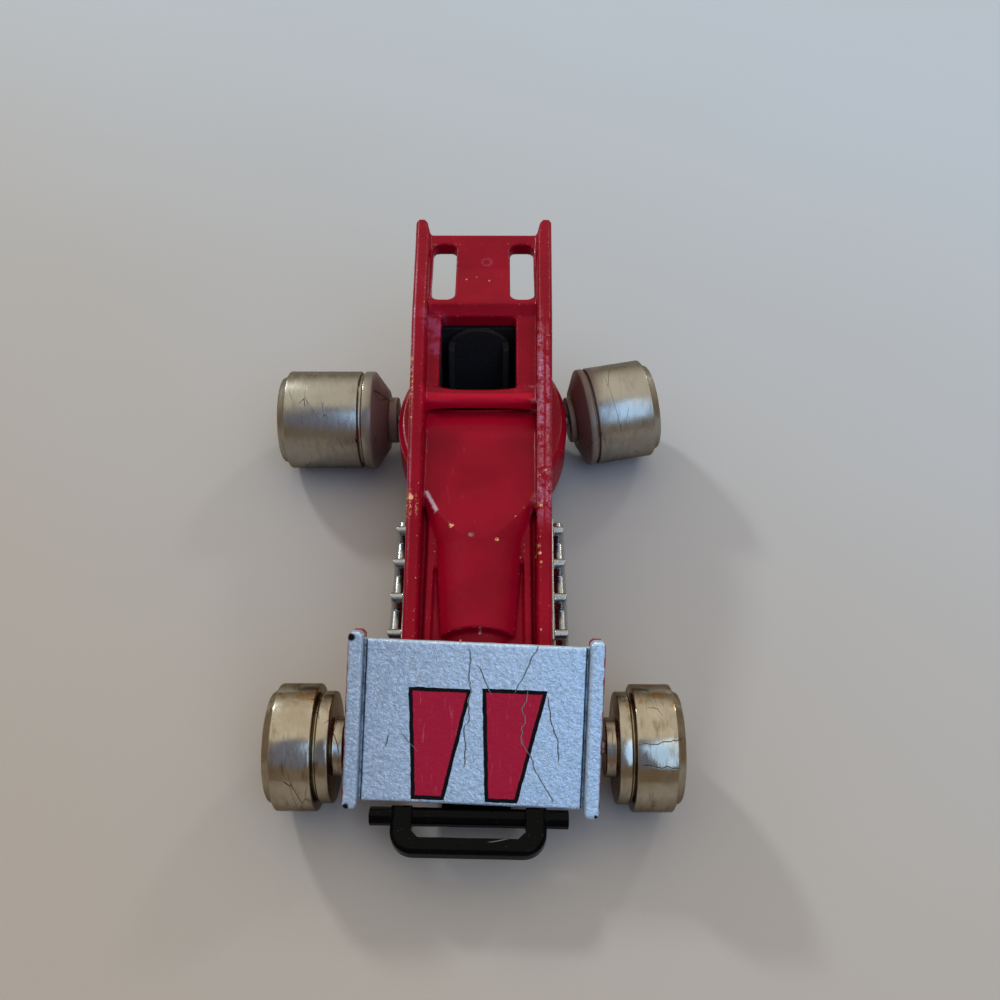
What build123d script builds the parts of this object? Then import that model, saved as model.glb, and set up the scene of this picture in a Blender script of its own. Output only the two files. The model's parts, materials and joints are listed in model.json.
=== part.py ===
from build123d import *
from math import atan2, cos, radians, sin
import os

os.makedirs("parts", exist_ok=True)

# Millimetres. The car is drawn with its front axle over Y = 0, its middle plane at X = 0 and the
# ground at Z = 0, and its nose points along -Y. Each finished piece is then moved so that the
# middle of the whole car's outline stands over the origin.

# Running gear
wheel_diameter = 11.0
wheelbase = 40.4
axle_diameter = 1.1
axle_clearance = 0.06
axle_head_diameter = 2.4
axle_head_length = 0.6
front_wheel_gap = 0.35
front_axle_shift = -0.15
rear_right_hub_start = 9.6
rear_left_hub_gap = 0.2
rear_toe_degrees = 10.0
rear_camber_degrees = 3.0
running_gap = 0.1

# Wheels: plated drums with no tyres, the right rear one wider than the left
front_wheel_width = 6.5
rear_right_wheel_width = 13.0
rear_left_wheel_width = 9.7
rear_left_inner_share = 0.65
front_hub_length = 0.95
front_ring_width = 1.1
front_groove_width = 0.25
front_lip_width = 0.7
rear_hub_length = 1.0
rear_cone_length = 1.6
rear_ring_width = 1.1
rear_groove_width = 0.4
rear_lip_width = 0.8
dish_depth = 1.3
hub_radius_share = 0.47
ring_radius_share = 0.88
groove_radius_share = 0.80
cone_radius_share = 0.60
lip_radius_share = 0.92
lip_edge_share = 0.86
dish_radius_share = 0.76

# Body casting
nose_overhang = 4.5
tail_overhang = 18.4
nose_width = 12.8
tail_width = 15.6
rail_height = 16.2
sill_drop = 1.9
nose_wall = 1.3
tail_wall = 1.7
deck_thickness = 1.3
bar_depth = 1.5
overrun = 6.0

wheel_radius = wheel_diameter / 2
axle_radius = axle_diameter / 2
bore_radius = axle_radius + axle_clearance
sill_z = wheel_radius - sill_drop
nose_y = -nose_overhang
tail_y = wheelbase + tail_overhang
body_length = tail_y - nose_y

# Rows of (length share, height share): the top line of the side rails, and the top lines of what
# lies between the rails
rail_shares = [
    (0.0, 0.05),
    (0.142, 0.516),
    (0.332, 0.611),
    (0.434, 0.704),
    (0.577, 0.827),
    (0.741, 0.951),
    (0.940, 0.981),
    (1.0, 1.0),
]
deck_shares = [(0.012, 0.03), (0.142, 0.400), (0.332, 0.487), (0.612, 0.625)]
cockpit_shares = [(0.600, 0.730), (0.772, 0.866)]
lip_shares = [(0.590, 0.765), (0.625, 0.770)]
crossbar_shares = [(0.768, 0.866), (0.787, 0.917), (0.800, 0.918)]
tail_panel_shares = [(0.785, 0.917), (0.880, 0.915), (0.960, 0.958)]
tail_bar_shares = [(0.942, 0.949), (0.966, 0.961)]
ridge_shares = [(0.160, 0.440), (0.332, 0.530), (0.430, 0.600)]
scoop_shares = [(0.300, 0.645), (0.436, 0.606), (0.612, 0.636)]

# Rows of (share of the tail overhang behind the rear axle, height share): the line under the tail
under_shares = [(0.972, 0.915), (0.832, 0.800), (0.322, 0.190), (0.238, 0.0)]

# Rows of (length share, half width as a share of the space between the rails, then as shares of
# the rail height the crown above the rails and the shoulders below the crown)
nose_shares = [(0.120, 0.50, -0.030, 0.080), (0.210, 0.56, -0.035, 0.080)]
hood_shares = [
    (0.197, 0.62, 0.010, 0.100),
    (0.340, 0.74, 0.020, 0.115),
    (0.436, 1.04, 0.028, 0.120),
    (0.606, 1.04, 0.030, 0.120),
]

ridge_offset = 0.35
ridge_width = 0.7
ridge_depth = 1.8

cockpit_width = 8.0
cockpit_offset = -0.4
cockpit_start_share = 0.625
cockpit_end_share = 0.768
cockpit_corner = 0.5
window_start_share = 0.798
window_end_share = 0.942
window_corner = 1.0
window_inset = 0.25
tank_width = 6.0
horn_tip_width = 1.3
rail_chamfer = 0.3

housing_reach = 1.9
housing_height = 5.0
housing_ahead = 10.5
housing_peak_ahead = 1.5
housing_behind = 5.0
housing_chamfer = 0.6

# Sunk side panels, as rows of (length share, height share) round their outline
side_panel_shares = [
    (0.410, 0.360),
    (0.410, 0.600),
    (0.577, 0.745),
    (0.741, 0.865),
    (0.860, 0.890),
    (0.860, 0.620),
    (0.780, 0.360),
]
side_panel_depth = 0.25
side_panel_corner = 0.7

post_diameter = 2.6
post_head_diameter = 3.4
post_head_length = 0.45
post_shares = [0.190, 0.560]

# Chassis base
base_thickness = 1.0
base_inset = 0.3
base_rim = 1.0
rim_front_share = 0.090
base_front_share = 0.030
base_end_gap = 0.4
fit_gap = 0.1

# Front wing
wing_span = 19.4
wing_chord = 13.9
wing_thickness = 0.8
wing_seat_gap = 0.1
wing_front_overhang = 0.16
wing_skew_degrees = 2.3
wing_shift = -0.2
wing_chamfer = 0.15
wing_groove = 0.3
end_plate_width = 1.3
end_plate_rise = 0.6
end_plate_depth = 1.1
end_plate_overhang = 0.6
end_plate_corner = 0.3

# Front bumper
bumper_bar_length = 17.1
bumper_bar_width = 1.5
bumper_bar_sides = 8
bumper_gap = 0.6
bumper_shift = -0.6
bumper_skew_degrees = 1.0
bumper_loop_width = 13.3
bumper_loop_reach = 3.45
bumper_loop_bar = 1.35
bumper_loop_height = 1.6
bumper_loop_rise = 0.15
bumper_slot_width = 9.7
bumper_slot_corner = 0.6
bumper_corner = 2.0
bumper_chamfer = 0.3
bumper_tongue_width = 6.0

# Exhaust headers
header_pipe_diameter = 1.0
header_stub = 0.55
header_drop = 1.9
header_collector_diameter = 1.2
header_pitch = 4.0
header_count = 4
header_start_share = 0.200
header_height_share = 0.36
header_flange_height = 1.6
header_flange_thickness = 0.25
header_tail = 1.2
header_bore_diameter = 0.8
header_bore_depth = 1.0

# Cockpit tub and seat
tub_wall = 0.6
tub_width = 9.2
tub_floor = 6.5
seat_width = 6.6
seat_wall = 0.7
seat_side = 2.2
seat_back_height = 8.6
seat_crown = 1.6
seat_pan_length = 5.3
seat_pan_side = 2.0
seat_recline_degrees = 12.0
seat_gap = 0.3


def along(share):
    return nose_y + share * body_length


def up(share):
    return sill_z + share * rail_height


def half_width(y):
    return (nose_width + (tail_width - nose_width) * (y - nose_y) / body_length) / 2


def inner_half(y):
    wall = nose_wall + (tail_wall - nose_wall) * (y - nose_y) / body_length
    return half_width(y) - wall


def height_on(shares, y):
    # Height of a line of rows at a place along the car
    places = [(along(a), up(b)) for a, b in shares]
    for (y0, z0), (y1, z1) in zip(places, places[1:]):
        if y <= y1:
            break
    return z0 + (z1 - z0) * (y - y0) / (y1 - y0)


def band(shares, depth):
    # A closed side outline: the line of rows, and the same line lowered
    top = [(along(a), up(b)) for a, b in shares]
    return top + [(y, z - depth) for y, z in reversed(top)]


# Hood: crowned sections that widen to fill the space between the rails. The flat scoop ahead of
# the cockpit is cut through the crown, which leaves a U-shaped edge.
with BuildPart() as hood:
    for rows in (nose_shares, hood_shares):
        for length_share, width_share, crown_share, drop_share in rows:
            y = along(length_share)
            reach = width_share * inner_half(y)
            crown = height_on(rail_shares, y) + crown_share * rail_height
            shoulder = crown - drop_share * rail_height
            base = height_on(deck_shares, y) - deck_thickness / 2
            with BuildSketch(Plane.XZ.offset(-y)):
                with BuildLine():
                    Polyline((-reach, shoulder), (-reach, base), (reach, base), (reach, shoulder))
                    ThreePointArc((-reach, shoulder), (0, crown), (reach, shoulder))
                make_face()
        loft(ruled=True)
    with BuildSketch(Plane.YZ):
        with BuildLine():
            Polyline(*band(scoop_shares, -rail_height), close=True)
        make_face()
    extrude(amount=tail_width, both=True, mode=Mode.SUBTRACT)

# Side view of the walls, with the rails along its top
under_line = [(wheelbase + a * tail_overhang, up(b)) for a, b in under_shares]
side_line = [(along(a), up(b)) for a, b in rail_shares] + under_line + [(nose_y + nose_wall, sill_z)]

# Side walls with the rails as their top edges: the plan strips cut to the side view
with BuildPart() as walls:
    with BuildSketch(Plane.XY.offset(sill_z - overrun)):
        with BuildLine():
            front_y = nose_y - overrun
            back_y = tail_y + overrun
            Polyline(
                (half_width(front_y), front_y),
                (half_width(back_y), back_y),
                (inner_half(back_y), back_y),
                (inner_half(front_y), front_y),
                close=True,
            )
        make_face()
        mirror(about=Plane.YZ)
    extrude(amount=rail_height + overrun + overrun)
    with BuildSketch(Plane.YZ):
        with BuildLine():
            Polyline(*side_line, close=True)
        make_face()
    extrude(amount=tail_width, both=True, mode=Mode.INTERSECT)
    # The horns behind the tail bar taper to their tips
    horn_y = along(tail_bar_shares[-1][0])
    with BuildSketch(Plane.XY.offset(sill_z)):
        with BuildLine():
            Polyline(
                (inner_half(horn_y), horn_y),
                (half_width(tail_y) - horn_tip_width, tail_y),
                (half_width(tail_y) - horn_tip_width, tail_y + overrun),
                (0, tail_y + overrun),
                (0, horn_y),
                close=True,
            )
        make_face()
        mirror(about=Plane.YZ)
    extrude(amount=rail_height + overrun, mode=Mode.SUBTRACT)
    rail_tops = walls.faces().filter_by(lambda face: face.normal_at().Z > cos(radians(60)))
    rail_edges = rail_tops.edges().filter_by(
        lambda edge: abs((edge @ 1 - edge @ 0).Y) > abs((edge @ 1 - edge @ 0).X) + rail_chamfer
    )
    chamfer(rail_edges, length=rail_chamfer)

# Rear axle housings: a long bulge on each side, cut to the same side view
housing_side = half_width(wheelbase) + housing_reach
with BuildPart() as housings:
    with BuildSketch(Plane.XY.offset(sill_z)):
        with BuildLine():
            front_y = wheelbase - housing_ahead
            back_y = wheelbase + housing_behind
            ThreePointArc(
                (half_width(front_y), front_y),
                (housing_side, wheelbase - housing_peak_ahead),
                (half_width(back_y), back_y),
            )
            Polyline(
                (half_width(back_y), back_y),
                (inner_half(back_y), back_y),
                (inner_half(front_y), front_y),
                (half_width(front_y), front_y),
            )
        make_face()
        mirror(about=Plane.YZ)
    extrude(amount=housing_height)
    housing_top = housings.faces().sort_by(Axis.Z)[-2:]
    chamfer(housing_top.edges().filter_by(GeomType.CIRCLE), length=housing_chamfer)
    with BuildSketch(Plane.YZ):
        with BuildLine():
            Polyline(*side_line, close=True)
        make_face()
    extrude(amount=tail_width, both=True, mode=Mode.INTERSECT)

# Cutters for the sunk side panels, drawn on the outer face of the tapered wall
wall_way = Vector(half_width(tail_y) - half_width(nose_y), tail_y - nose_y, 0).normalized()
panel_plane = Plane(
    origin=(half_width(nose_y), nose_y, 0),
    x_dir=wall_way,
    z_dir=wall_way.cross(Vector(0, 0, 1)),
)
with BuildPart() as side_panels:
    with BuildSketch(panel_plane.offset(-side_panel_depth)) as panel:
        with BuildLine():
            Polyline(*[(a * body_length, up(b)) for a, b in side_panel_shares], close=True)
        make_face()
        chamfer(panel.vertices(), length=side_panel_corner)
    extrude(amount=side_panel_depth + overrun)
    mirror(about=Plane.YZ)

with BuildPart() as body_casting:
    # Decks and bars between the rails
    for shares, depth in [
        (deck_shares, deck_thickness),
        (cockpit_shares, deck_thickness),
        (tail_panel_shares, deck_thickness),
        (lip_shares, bar_depth),
        (crossbar_shares, bar_depth),
        (tail_bar_shares, bar_depth),
    ]:
        with BuildSketch(Plane.YZ):
            with BuildLine():
                Polyline(*band(shares, depth), close=True)
            make_face()
        extrude(amount=tail_width, both=True)
    with BuildSketch(Plane.XY.offset(sill_z)):
        with BuildLine():
            Polyline(
                (-half_width(nose_y) + nose_wall / 2, nose_y),
                (half_width(nose_y) - nose_wall / 2, nose_y),
                (half_width(tail_y) - nose_wall / 2, tail_y),
                (-half_width(tail_y) + nose_wall / 2, tail_y),
                close=True,
            )
        make_face()
    extrude(amount=rail_height + overrun, mode=Mode.INTERSECT)
    add(hood.part)
    # Ridges beside the hood
    ridge_reach = inner_half(along(ridge_shares[0][0])) - ridge_offset
    for side in (-1, 1):
        with BuildSketch(Plane.YZ.offset(side * (ridge_reach - ridge_width / 2))):
            with BuildLine():
                Polyline(*band(ridge_shares, ridge_depth), close=True)
            make_face()
        extrude(amount=ridge_width / 2, both=True)
    # Openings: the cockpit, and a window each side of the tank
    window_start = along(window_start_share)
    window_length = along(window_end_share) - window_start
    window_width = inner_half(window_start) - window_inset - tank_width / 2
    cockpit_start = along(cockpit_start_share)
    cockpit_length = along(cockpit_end_share) - cockpit_start
    with BuildSketch(Plane.XY.offset(sill_z)):
        with Locations((cockpit_offset, cockpit_start + cockpit_length / 2)):
            RectangleRounded(cockpit_width, cockpit_length, cockpit_corner)
        for side in (-1, 1):
            with Locations((side * (tank_width + window_width) / 2, window_start + window_length / 2)):
                RectangleRounded(window_width, window_length, window_corner)
    extrude(amount=rail_height + overrun, mode=Mode.SUBTRACT)
    add(walls.part)
    add(housings.part)
    add(side_panels.part, mode=Mode.SUBTRACT)
    # Posts that are riveted over under the base
    for share in post_shares:
        post_top = height_on(deck_shares, along(share)) - deck_thickness / 2
        with BuildSketch(Plane.XY.offset(sill_z - base_thickness)):
            with Locations((0, along(share))):
                Circle(post_diameter / 2)
        extrude(amount=post_top - sill_z + base_thickness)
        with BuildSketch(Plane.XY.offset(sill_z - base_thickness)):
            with Locations((0, along(share))):
                Circle(post_head_diameter / 2)
        extrude(amount=post_head_length)
    # Bores for the two axles
    with BuildSketch(Plane.YZ):
        with Locations((0, wheel_radius), (wheelbase, wheel_radius)):
            Circle(bore_radius)
    extrude(amount=tail_width, both=True, mode=Mode.SUBTRACT)

# Chassis base: a plate under the sills with a rim that stands up inside the walls
base_front = along(base_front_share)
base_end = under_line[-1][0] - base_end_gap
with BuildPart() as chassis_base:
    with BuildSketch(Plane.XY.offset(sill_z - base_thickness)):
        with BuildLine():
            Polyline(
                (-half_width(base_front) + base_inset, base_front),
                (half_width(base_front) - base_inset, base_front),
                (half_width(base_end) - base_inset, base_end),
                (-half_width(base_end) + base_inset, base_end),
                close=True,
            )
        make_face()
    extrude(amount=base_thickness)
    with BuildSketch(Plane.XY.offset(sill_z)):
        with BuildLine():
            rim_front = along(rim_front_share)
            rim_end = base_end - base_rim
            Polyline(
                (-inner_half(rim_front) + fit_gap, rim_front),
                (inner_half(rim_front) - fit_gap, rim_front),
                (inner_half(rim_end) - fit_gap, rim_end),
                (-inner_half(rim_end) + fit_gap, rim_end),
                close=True,
            )
        make_face()
        offset(amount=-base_rim, mode=Mode.SUBTRACT)
    extrude(amount=base_rim)
    with BuildSketch(Plane.XY.offset(sill_z - base_thickness)):
        with Locations(*[(0, along(share)) for share in post_shares]):
            Circle(post_diameter / 2 + fit_gap)
    extrude(amount=base_thickness + base_rim, mode=Mode.SUBTRACT)
    # Sunk seats for the post heads
    with BuildSketch(Plane.XY.offset(sill_z - base_thickness)):
        with Locations(*[(0, along(share)) for share in post_shares]):
            Circle(post_head_diameter / 2 + fit_gap)
    extrude(amount=post_head_length, mode=Mode.SUBTRACT)

# Front wing, seated along the sloping front of the rails
slope_start = (along(rail_shares[0][0]), up(rail_shares[0][1]))
slope_end = (along(rail_shares[1][0]), up(rail_shares[1][1]))
wing_tilt = atan2(slope_end[1] - slope_start[1], slope_end[0] - slope_start[0])
wing_up = Vector(0, cos(wing_tilt), sin(wing_tilt))
wing_normal = Vector(0, -sin(wing_tilt), cos(wing_tilt))
wing_skew = radians(wing_skew_degrees)
wing_centre = (
    Vector(wing_shift, *slope_start)
    + wing_up * (wing_chord / 2 - wing_front_overhang)
    + wing_normal * wing_seat_gap
)
wing_plane = Plane(
    origin=wing_centre,
    x_dir=Vector(1, 0, 0) * cos(wing_skew) - wing_up * sin(wing_skew),
    z_dir=wing_normal,
)
with BuildPart() as front_wing:
    with BuildSketch(wing_plane):
        Rectangle(wing_span + end_plate_width, wing_chord)
    extrude(amount=wing_thickness)
    chamfer(front_wing.edges().filter_by(Axis(wing_centre, wing_plane.x_dir)), length=wing_chamfer)
    # A groove along each end plate
    with BuildSketch(wing_plane.offset(wing_thickness - wing_groove)):
        for side in (-1, 1):
            with Locations((side * (wing_span - wing_groove) / 2, 0)):
                Rectangle(wing_groove, wing_chord)
    extrude(amount=wing_groove, mode=Mode.SUBTRACT)
    for side in (-1, 1):
        with BuildSketch(wing_plane.offset(-end_plate_depth)) as end_plate:
            with Locations((side * (wing_span + end_plate_width) / 2, 0)):
                Rectangle(end_plate_width, wing_chord + end_plate_overhang * 2)
            chamfer(end_plate.vertices(), length=end_plate_corner)
        extrude(amount=end_plate_depth + wing_thickness + end_plate_rise)
    plate_tops = front_wing.faces().sort_by(Axis(wing_centre, wing_normal))[-2:]
    chamfer(plate_tops.edges(), length=wing_chamfer)

# Front bumper: an eight-sided cross bar with a slotted loop ahead of it, on a tongue of the base
bar_y = nose_y - bumper_gap - bumper_bar_width / 2
bar_z = sill_z + bumper_bar_width / 4
bumper_skew = radians(bumper_skew_degrees)
bumper_plane = Plane(
    origin=(bumper_shift, bar_y, bar_z),
    x_dir=(cos(bumper_skew), -sin(bumper_skew), 0),
    z_dir=(0, 0, 1),
)
slot_front = bumper_loop_bar - bumper_loop_reach
with BuildPart() as front_bumper:
    with BuildSketch(bumper_plane.offset(bumper_loop_rise - bumper_loop_height / 2)):
        with Locations((0, (bumper_bar_width / 2 - bumper_loop_reach) / 2)):
            Rectangle(bumper_loop_width, bumper_loop_reach + bumper_bar_width / 2)
    extrude(amount=bumper_loop_height)
    upright = front_bumper.edges().filter_by(Axis.Z).sort_by(Axis.Y)
    fillet(upright[:2], radius=bumper_corner)
    loop_faces = front_bumper.faces().sort_by(Axis.Z)
    chamfer((loop_faces[0].edges() + loop_faces[-1].edges()), length=bumper_chamfer)
    with BuildSketch(bumper_plane.offset(-bumper_loop_height)):
        with BuildLine():
            Polyline(
                (-bumper_slot_width / 2, 0),
                (-bumper_slot_width / 2, slot_front + bumper_slot_corner),
                (-bumper_slot_width / 2 + bumper_slot_corner, slot_front),
                (bumper_slot_width / 2 - bumper_slot_corner, slot_front),
                (bumper_slot_width / 2, slot_front + bumper_slot_corner),
                (bumper_slot_width / 2, 0),
                (bumper_slot_width / 2, bumper_bar_width),
                (-bumper_slot_width / 2, bumper_bar_width),
                close=True,
            )
        make_face()
    extrude(amount=bumper_loop_height * 2, mode=Mode.SUBTRACT)
    with BuildSketch(Plane(origin=bumper_plane.origin, x_dir=(0, 0, 1), z_dir=bumper_plane.x_dir)):
        RegularPolygon(
            bumper_bar_width / 2,
            bumper_bar_sides,
            major_radius=False,
            rotation=180 / bumper_bar_sides,
        )
    extrude(amount=bumper_bar_length / 2, both=True)
    with BuildSketch(Plane.XY.offset(sill_z - base_thickness)):
        with Locations((0, (bar_y + base_front) / 2)):
            Rectangle(bumper_tongue_width, base_front - bar_y)
    extrude(amount=base_thickness)

# Exhaust headers: four pipes a side that leave a flange, turn down and join a collector
header_y = along(header_start_share)
header_z = up(header_height_share)
headers = {}
for side, label in ((-1, "headers_right"), (1, "headers_left")):
    first_y = header_y + header_pipe_diameter
    last_y = first_y + header_pitch * (header_count - 1)
    flange_end = last_y + header_pipe_diameter
    collector_x = half_width(flange_end) + header_flange_thickness + header_stub
    with BuildPart() as header:
        with BuildSketch(Plane.XY.offset(header_z - header_flange_height / 2)):
            with BuildLine():
                Polyline(
                    (side * half_width(header_y), header_y),
                    (side * half_width(flange_end), flange_end),
                    (side * (half_width(flange_end) + header_flange_thickness), flange_end),
                    (side * (half_width(header_y) + header_flange_thickness), header_y),
                    close=True,
                )
            make_face()
        extrude(amount=header_flange_height)
        for number in range(header_count):
            y = first_y + header_pitch * number
            x0 = half_width(y) + header_flange_thickness / 2
            with BuildLine() as route:
                Polyline(
                    (side * x0, y, header_z),
                    (side * collector_x, y, header_z),
                    (side * collector_x, y, header_z - header_drop),
                )
            with BuildSketch(Plane(origin=(side * x0, y, header_z), z_dir=(side, 0, 0))):
                Circle(header_pipe_diameter / 2)
            sweep(path=route.wires()[0], transition=Transition.RIGHT)
        with BuildSketch(Plane.XZ.offset(-(first_y - header_pipe_diameter))):
            with Locations((side * collector_x, header_z - header_drop)):
                Circle(header_collector_diameter / 2)
        extrude(amount=-(flange_end - first_y + header_pipe_diameter + header_tail))
        with BuildSketch(Plane.XZ.offset(-(flange_end + header_tail - header_bore_depth))):
            with Locations((side * collector_x, header_z - header_drop)):
                Circle(header_bore_diameter / 2)
        extrude(amount=-(header_bore_depth + overrun), mode=Mode.SUBTRACT)
    headers[label] = header.part

# Cockpit tub and seat
tub_front = along(deck_shares[-1][0]) + fit_gap
tub_back = along(crossbar_shares[0][0]) + tub_wall
tub_front_top = height_on(cockpit_shares, tub_front) - deck_thickness - fit_gap
tub_back_top = up(crossbar_shares[0][1]) - bar_depth - fit_gap
with BuildPart() as cockpit_tub:
    with BuildSketch(Plane.YZ.offset(cockpit_offset)):
        with BuildLine():
            Polyline(
                (tub_front, tub_floor),
                (tub_front, tub_front_top),
                (tub_back, tub_back_top),
                (tub_back, tub_floor),
                close=True,
            )
        make_face()
    extrude(amount=tub_width / 2, both=True)
    with BuildSketch(Plane.XY.offset(tub_floor + tub_wall)):
        with Locations((cockpit_offset, (tub_front + tub_back) / 2)):
            Rectangle(tub_width - tub_wall * 2, tub_back - tub_front - tub_wall * 2)
    extrude(amount=rail_height, mode=Mode.SUBTRACT)

seat_recline = radians(seat_recline_degrees)
seat_foot = Vector(
    cockpit_offset,
    tub_back - tub_wall - seat_gap - seat_wall - seat_back_height * sin(seat_recline),
    tub_floor + tub_wall + seat_gap + seat_wall,
)
# The seat back is drawn upright on its reclined front face, X across and Y up
seat_back_plane = Plane(
    origin=seat_foot, x_dir=(1, 0, 0), z_dir=(0, -cos(seat_recline), sin(seat_recline))
)
with BuildPart() as seat:
    with BuildSketch(seat_back_plane):
        with BuildLine():
            shoulder = seat_back_height - seat_crown
            Polyline(
                (-seat_width / 2, shoulder),
                (-seat_width / 2, 0),
                (seat_width / 2, 0),
                (seat_width / 2, shoulder),
            )
            ThreePointArc((-seat_width / 2, shoulder), (0, seat_back_height), (seat_width / 2, shoulder))
        make_face()
    extrude(amount=-seat_wall)
    # Bolsters that widen towards the pan
    for side in (-1, 1):
        with BuildSketch(Plane.YZ.offset(cockpit_offset + side * (seat_width - seat_wall) / 2)):
            with BuildLine():
                back = seat_foot + seat_back_plane.y_dir * shoulder
                Polyline(
                    (seat_foot.Y, seat_foot.Z),
                    (back.Y, back.Z),
                    (back.Y - seat_side / 2, back.Z),
                    (seat_foot.Y - seat_side, seat_foot.Z + seat_pan_side),
                    (seat_foot.Y - seat_pan_length, seat_foot.Z + seat_pan_side / 2),
                    (seat_foot.Y - seat_pan_length, seat_foot.Z),
                    close=True,
                )
            make_face()
        extrude(amount=seat_wall / 2, both=True)
    with BuildSketch(Plane.XY.offset(seat_foot.Z - seat_wall)):
        with Locations((cockpit_offset, seat_foot.Y + (seat_wall - seat_pan_length) / 2)):
            Rectangle(seat_width, seat_pan_length + seat_wall)
    extrude(amount=seat_wall)

# Wheels: each is turned about its own axle line. The rear axle is bent outside the left housing,
# so the left rear wheel stands askew.
toe = radians(rear_toe_degrees)
camber = radians(rear_camber_degrees)
bent_way = Vector(cos(toe) * cos(camber), sin(toe) * cos(camber), sin(camber))
bend_point = Vector(housing_side + running_gap, wheelbase, wheel_radius)
front_centre = Vector(front_axle_shift, 0, wheel_radius)
rear_centre = Vector(0, wheelbase, wheel_radius)
to_left = Vector(1, 0, 0)
to_right = Vector(-1, 0, 0)


def front_profile(width):
    ring = front_hub_length + front_ring_width
    drum = ring + front_groove_width
    return [
        (0, hub_radius_share),
        (front_hub_length, hub_radius_share),
        (front_hub_length, ring_radius_share),
        (ring, ring_radius_share),
        (ring, groove_radius_share),
        (drum, groove_radius_share),
        (drum, 1),
        (width - front_lip_width, 1),
        (width - front_lip_width, lip_radius_share),
        (width, lip_edge_share),
    ]


def rear_profile(width, inner_share=1):
    hub = rear_hub_length * inner_share
    cone = hub + rear_cone_length * inner_share
    ring = cone + rear_ring_width * inner_share
    drum = ring + rear_groove_width * inner_share
    return [
        (0, hub_radius_share),
        (hub, hub_radius_share),
        (hub, cone_radius_share),
        (cone, 1),
        (ring, 1),
        (ring, lip_radius_share),
        (drum, lip_radius_share),
        (drum, 1),
        (width - rear_lip_width, 1),
        (width - rear_lip_width, lip_radius_share),
        (width, lip_edge_share),
    ]


front_hub_start = wing_span / 2 + end_plate_width + front_wheel_gap
front_rows = front_profile(front_wheel_width)
rear_left_rows = rear_profile(rear_left_wheel_width, rear_left_inner_share)
rear_right_rows = rear_profile(rear_right_wheel_width)
rear_left_hub = bend_point + bent_way * rear_left_hub_gap
rear_right_hub = rear_centre + to_right * rear_right_hub_start

# Rows of (label, profile rows, middle of the inner hub face, way outwards)
wheel_rows = [
    ("front_left_wheel", front_rows, front_centre + to_left * front_hub_start, to_left),
    ("front_right_wheel", front_rows, front_centre + to_right * front_hub_start, to_right),
    ("rear_left_wheel", rear_left_rows, rear_left_hub, bent_way),
    ("rear_right_wheel", rear_right_rows, rear_right_hub, to_right),
]
wheels = {}
for label, rows, hub, outwards in wheel_rows:
    width = rows[-1][0]
    with BuildPart() as wheel:
        with BuildSketch(Plane(origin=hub, x_dir=outwards, z_dir=outwards.cross(Vector(0, 0, 1)))):
            with BuildLine():
                Polyline(
                    (0, bore_radius),
                    *[(x, share * wheel_radius) for x, share in rows],
                    (width, dish_radius_share * wheel_radius),
                    (width - dish_depth, dish_radius_share * wheel_radius),
                    (width - dish_depth, bore_radius),
                    close=True,
                )
            make_face()
        revolve(axis=Axis(hub, outwards))
    wheels[label] = wheel.part

# Axles: plain rods with a head sunk in each wheel's dish
front_end = front_hub_start + front_wheel_width - dish_depth + running_gap
rear_end = rear_right_hub_start + rear_right_wheel_width - dish_depth + running_gap
bent_end = rear_left_hub_gap + rear_left_wheel_width - dish_depth + running_gap
with BuildPart() as front_axle:
    with BuildSketch(Plane(origin=front_centre, z_dir=to_left)):
        Circle(axle_radius)
    extrude(amount=front_end, both=True)
    for outwards in (to_left, to_right):
        with BuildSketch(Plane(origin=front_centre + outwards * front_end, z_dir=outwards)):
            Circle(axle_head_diameter / 2)
        extrude(amount=axle_head_length)

with BuildPart() as rear_axle:
    with BuildSketch(Plane(origin=bend_point, z_dir=to_right)):
        Circle(axle_radius)
    extrude(amount=rear_end + bend_point.X)
    with BuildSketch(Plane(origin=rear_centre + to_right * rear_end, z_dir=to_right)):
        Circle(axle_head_diameter / 2)
    extrude(amount=axle_head_length)
    with Locations(bend_point):
        Sphere(axle_radius)
    with BuildSketch(Plane(origin=bend_point, z_dir=bent_way)):
        Circle(axle_radius)
    extrude(amount=bent_end)
    with BuildSketch(Plane(origin=bend_point + bent_way * bent_end, z_dir=bent_way)):
        Circle(axle_head_diameter / 2)
    extrude(amount=axle_head_length)

pieces = {
    "body_casting": body_casting.part,
    "front_wing": front_wing.part,
    "chassis_base": chassis_base.part,
    "front_bumper": front_bumper.part,
    "cockpit_tub": cockpit_tub.part,
    "seat": seat.part,
    "front_axle": front_axle.part,
    "rear_axle": rear_axle.part,
    **headers,
    **wheels,
}

boxes = [piece.bounding_box() for piece in pieces.values()]
middle_x = (min(b.min.X for b in boxes) + max(b.max.X for b in boxes)) / 2
middle_y = (min(b.min.Y for b in boxes) + max(b.max.Y for b in boxes)) / 2
for label, piece in pieces.items():
    placed = piece.moved(Location((-middle_x, -middle_y, 0)))
    placed.label = label
    export_step(placed, f"parts/{label}.step")
print("origin in the drawing", round(middle_x, 3), round(middle_y, 3))
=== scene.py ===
import json
import math

import bpy
from mathutils import Matrix, Vector
from mathutils.kdtree import KDTree


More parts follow.
